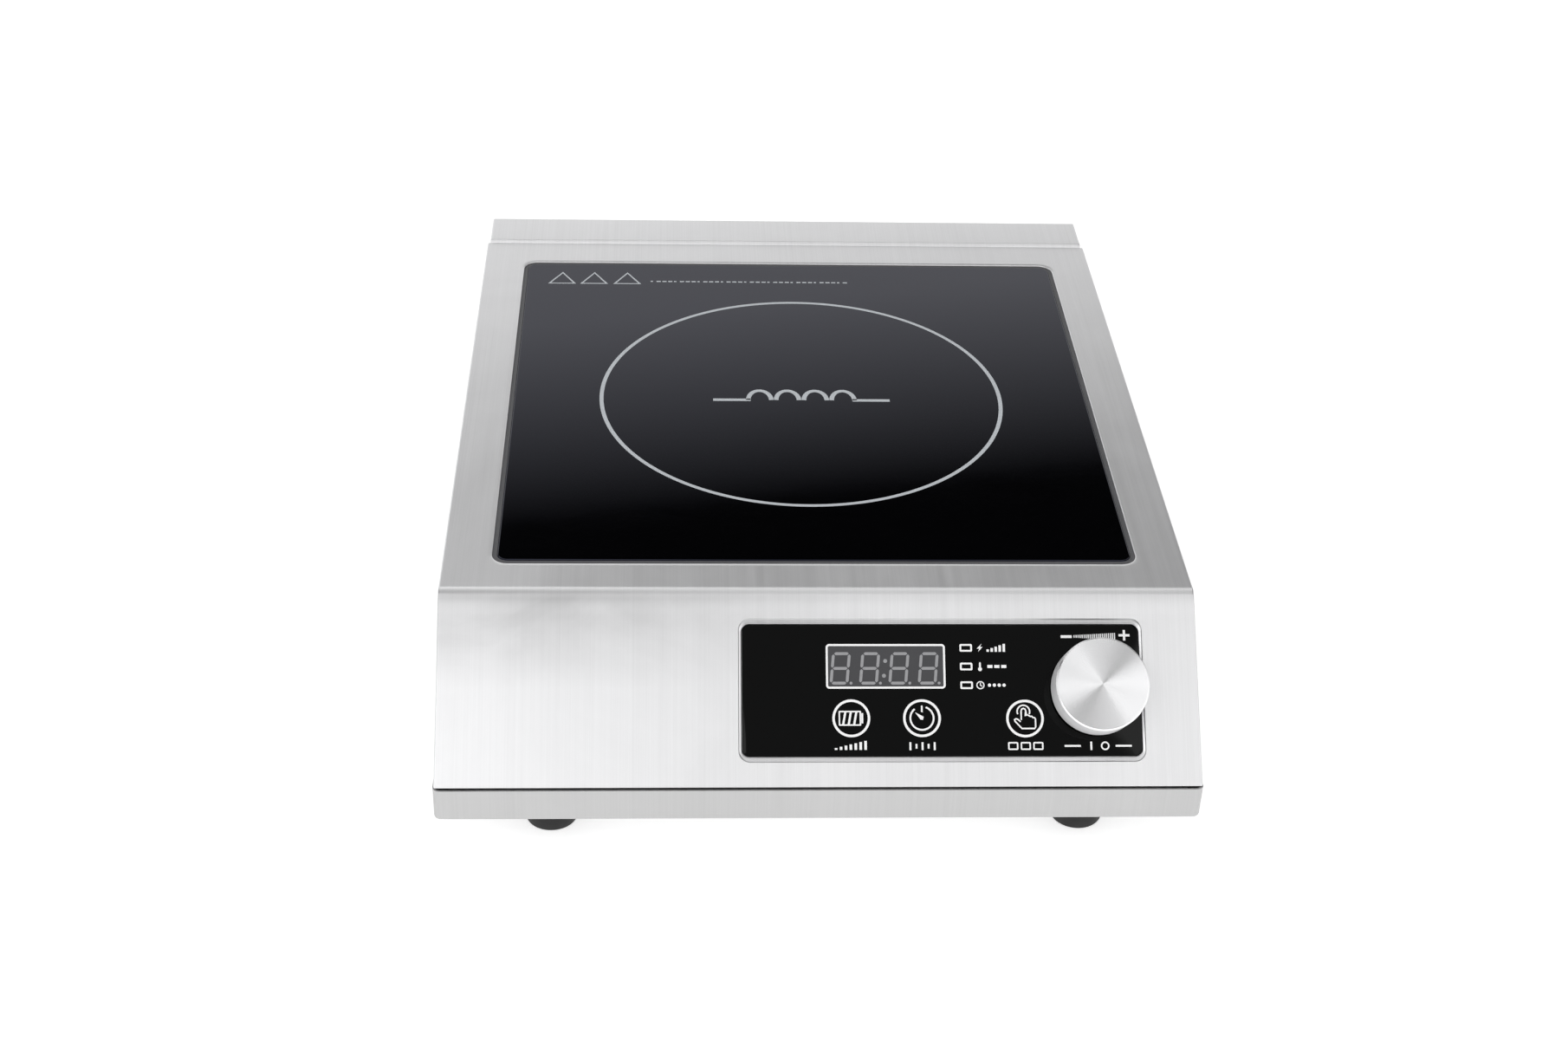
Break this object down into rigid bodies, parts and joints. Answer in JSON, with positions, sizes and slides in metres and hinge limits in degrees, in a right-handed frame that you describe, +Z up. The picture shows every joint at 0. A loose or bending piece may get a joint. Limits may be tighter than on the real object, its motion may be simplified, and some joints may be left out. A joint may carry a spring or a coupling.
{
  "type": "induction hob",
  "caption": "Countertop induction hob: stainless casing with a sloped control panel, black glass cooking zone, turned push knob, cooling fans, rear exhaust hood and rubber feet.",
  "frame": {"origin": "below the middle of the outer box, on the surface that the feet stand on", "axes": "+Z up, -Y towards the cook (the control panel side), +X to the right seen from the front"},
  "size_m": [0.328, 0.434, 0.0974],
  "materials": {
    "stainless": "brushed",
    "zinc_steel": "satin",
    "black_glass": "gloss",
    "silicone": "matte",
    "foot_rubber": "matte",
    "nylon": "satin",
    "fascia_acrylic": "gloss",
    "display_plastic": "satin",
    "led_plastic": "satin",
    "circuit_board": "satin",
    "component_black": "matte",
    "component_blue": "gloss",
    "component_yellow": "matte",
    "ceramic_white": "matte",
    "ribbon_grey": "matte",
    "turned_aluminium": "brushed",
    "plain_aluminium": "satin",
    "litz_copper": "satin",
    "lead_silicone": "matte",
    "ferrite": "matte",
    "mica": "satin",
    "ceramic_felt": "matte",
    "former_resin": "matte",
    "brass_parts": "satin",
    "spring_steel": "gloss"
  },
  "bodies": {
    "root": {"base_tray": "stainless", "top_cover": "stainless", "rear_hood": "stainless", "glass_plate": "black_glass", "glass_seal": "silicone", "foot_front_left": "foot_rubber", "foot_front_right": "foot_rubber", "foot_rear_left": "foot_rubber", "foot_rear_right": "foot_rubber", "foot_screws": "zinc_steel", "foot_nuts": "zinc_steel", "casing_screws": "zinc_steel", "cable_gland": "nylon", "gland_dome": "nylon", "gland_nut": "nylon", "wire_grommet": "foot_rubber", "terminal_block": "ceramic_white", "earth_stud": "brass_parts", "control_fascia": "fascia_acrylic", "display_module": "display_plastic", "indicator_leds": "led_plastic", "touch_springs": "spring_steel", "control_board": "circuit_board", "control_chips": "component_black", "panel_standoffs": "zinc_steel", "board_screws": "zinc_steel", "control_ribbon": "ribbon_grey", "encoder_body": "zinc_steel", "encoder_nut": "zinc_steel", "mica_sheet": "mica", "insulation_pad": "ceramic_felt", "coil_winding": "litz_copper", "coil_former": "former_resin", "ferrite_bars": "ferrite", "coil_plate": "plain_aluminium", "coil_posts": "zinc_steel", "coil_springs": "spring_steel", "coil_leads": "lead_silicone", "thermal_sensor": "ceramic_white", "sensor_holder": "lead_silicone", "power_board": "circuit_board", "power_standoffs": "brass_parts", "power_screws": "zinc_steel", "heatsink": "plain_aluminium", "power_transistors": "component_black", "bridge_rectifier": "component_black", "power_capacitors": "component_blue", "filter_choke": "component_yellow", "standby_transformer": "component_yellow", "mains_fuse": "ceramic_white", "fan_left_frame": "nylon", "fan_right_frame": "nylon", "fan_screws": "zinc_steel"},
    "plunger": {"encoder_plunger": "led_plastic"},
    "knob": {"encoder_shaft": "zinc_steel", "knob_insert": "nylon", "knob_cap": "turned_aluminium"},
    "fan_left": {"fan_left_rotor": "nylon"},
    "fan_right": {"fan_right_rotor": "nylon"}
  },
  "joints": [
    {"name": "knob_press", "type": "slide", "parent": "root", "child": "plunger", "axis": [0, 0.6978, -0.7163], "range_m": [0, 0.0015], "stiffness_N_per_m": 3000, "springref_m": -0.0008},
    {"name": "knob_turn", "type": "hinge", "parent": "plunger", "child": "knob", "pos_m": [0.119, -0.18614, 0.06579], "axis": [0, -0.6978, 0.7163], "continuous": true},
    {"name": "fan_left_spin", "type": "hinge", "parent": "root", "child": "fan_left", "pos_m": [-0.062, 0.12877, 0.03], "axis": [0, 0, 1], "continuous": true},
    {"name": "fan_right_spin", "type": "hinge", "parent": "root", "child": "fan_right", "pos_m": [0.062, 0.12877, 0.03], "axis": [0, 0, 1], "continuous": true}
  ]
}
